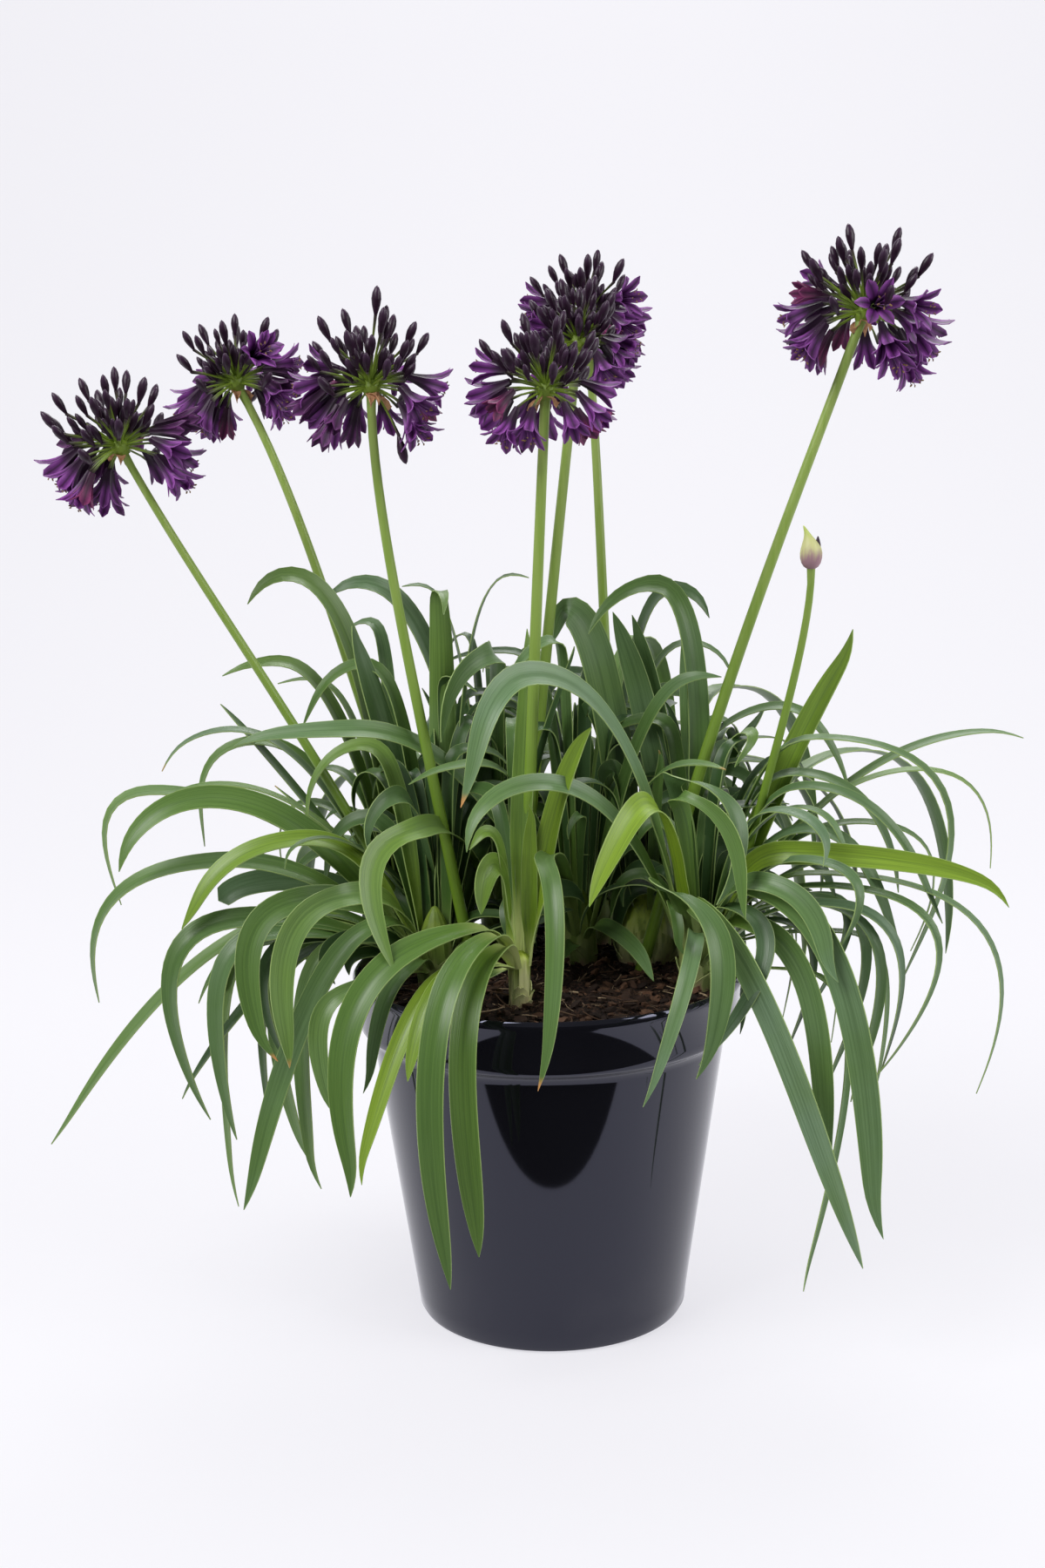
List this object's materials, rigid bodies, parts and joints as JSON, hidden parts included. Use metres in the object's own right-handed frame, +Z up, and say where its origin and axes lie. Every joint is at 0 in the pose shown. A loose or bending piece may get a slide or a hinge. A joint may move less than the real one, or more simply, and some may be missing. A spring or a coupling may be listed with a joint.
{
  "type": "potted agapanthus plant",
  "caption": "Potted agapanthus: arching strap leaves, tall stems with round dark purple flower heads and one closed bud, in a glossy round pot.",
  "frame": {"origin": "centre of the pot's underside, on the surface it stands on", "axes": "+Z up, -Y towards the fuller side of the plant, from which it is looked at, +X to the right seen from there"},
  "size_m": [0.648, 0.5124, 0.7118],
  "materials": {
    "pot": "gloss",
    "soil": "matte",
    "leaf": "satin",
    "stem": "satin",
    "flower": "satin",
    "sheath": "satin"
  },
  "bodies": {
    "root": {"pot": "pot", "soil": "soil", "leaf_fan_1": "leaf", "leaf_fan_2": "leaf", "leaf_fan_3": "leaf", "leaf_fan_4": "leaf", "leaf_fan_5": "leaf", "leaf_fan_6": "leaf", "leaf_fan_7": "leaf", "leaf_fan_8": "leaf", "leaf_fan_9": "leaf", "leaf_fan_10": "leaf", "flower_stem_1": "stem", "flower_stem_2": "stem", "flower_stem_3": "stem", "flower_stem_4": "stem", "flower_stem_5": "stem", "flower_stem_6": "stem", "flower_stem_7": "stem", "flower_stem_8": "stem", "flower_head_1": "flower", "flower_head_2": "flower", "flower_head_3": "flower", "flower_head_4": "flower", "flower_head_5": "flower", "flower_head_6": "flower", "flower_head_7": "flower", "flower_bud_8": "sheath"}
  },
  "joints": []
}
